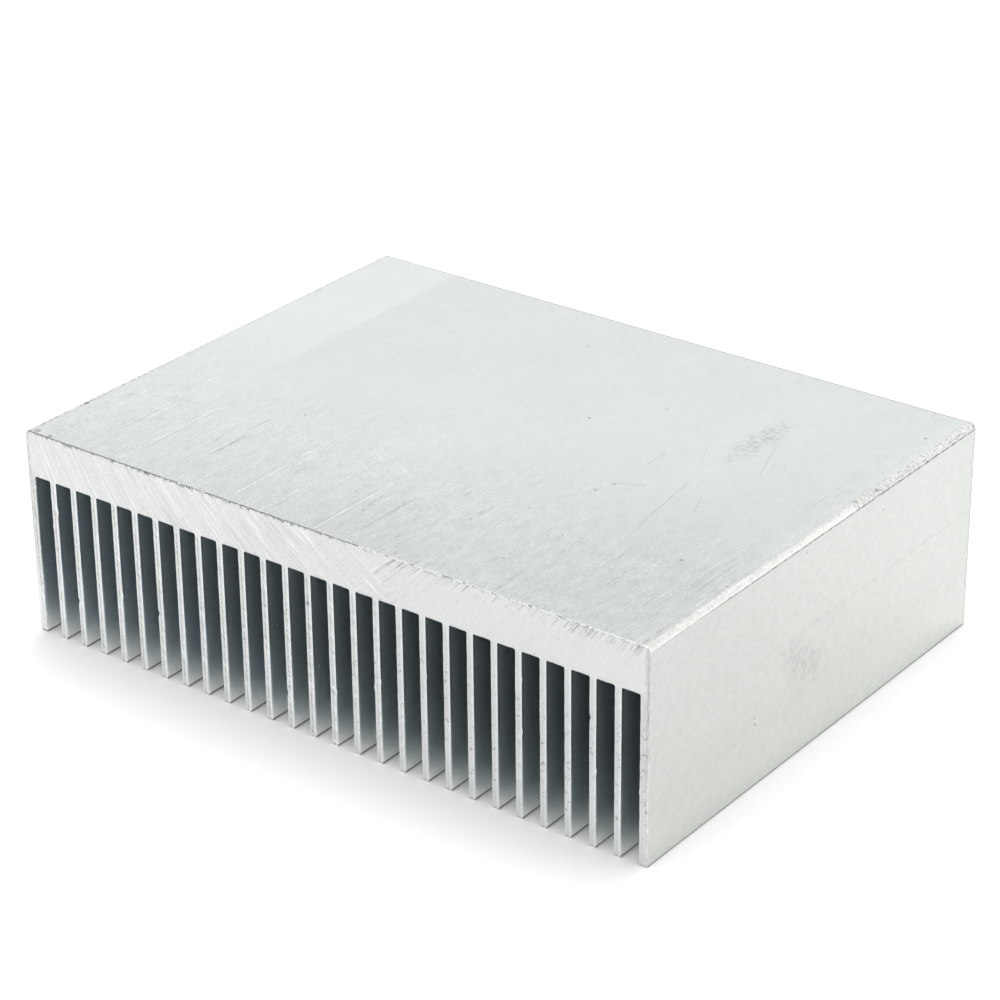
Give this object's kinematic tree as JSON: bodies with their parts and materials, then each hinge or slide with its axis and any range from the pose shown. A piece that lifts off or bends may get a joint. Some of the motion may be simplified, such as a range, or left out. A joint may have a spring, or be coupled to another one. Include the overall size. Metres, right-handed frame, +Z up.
{
  "type": "extruded heat sink",
  "caption": "Aluminium heat sink: a thick flat base plate with a comb of straight parallel fins, sawn square at both ends.",
  "frame": {"origin": "centre of the footprint, on the plane of the fin tips that the part stands on", "axes": "+X across the fins, +Y along the extrusion, +Z up through the fins to the flat face of the base plate"},
  "size_m": [0.1, 0.075, 0.03],
  "materials": {
    "aluminium": "bare mill finish as extruded, with saw-cut ends"
  },
  "bodies": {
    "root": {"heat_sink": "aluminium"}
  },
  "joints": []
}
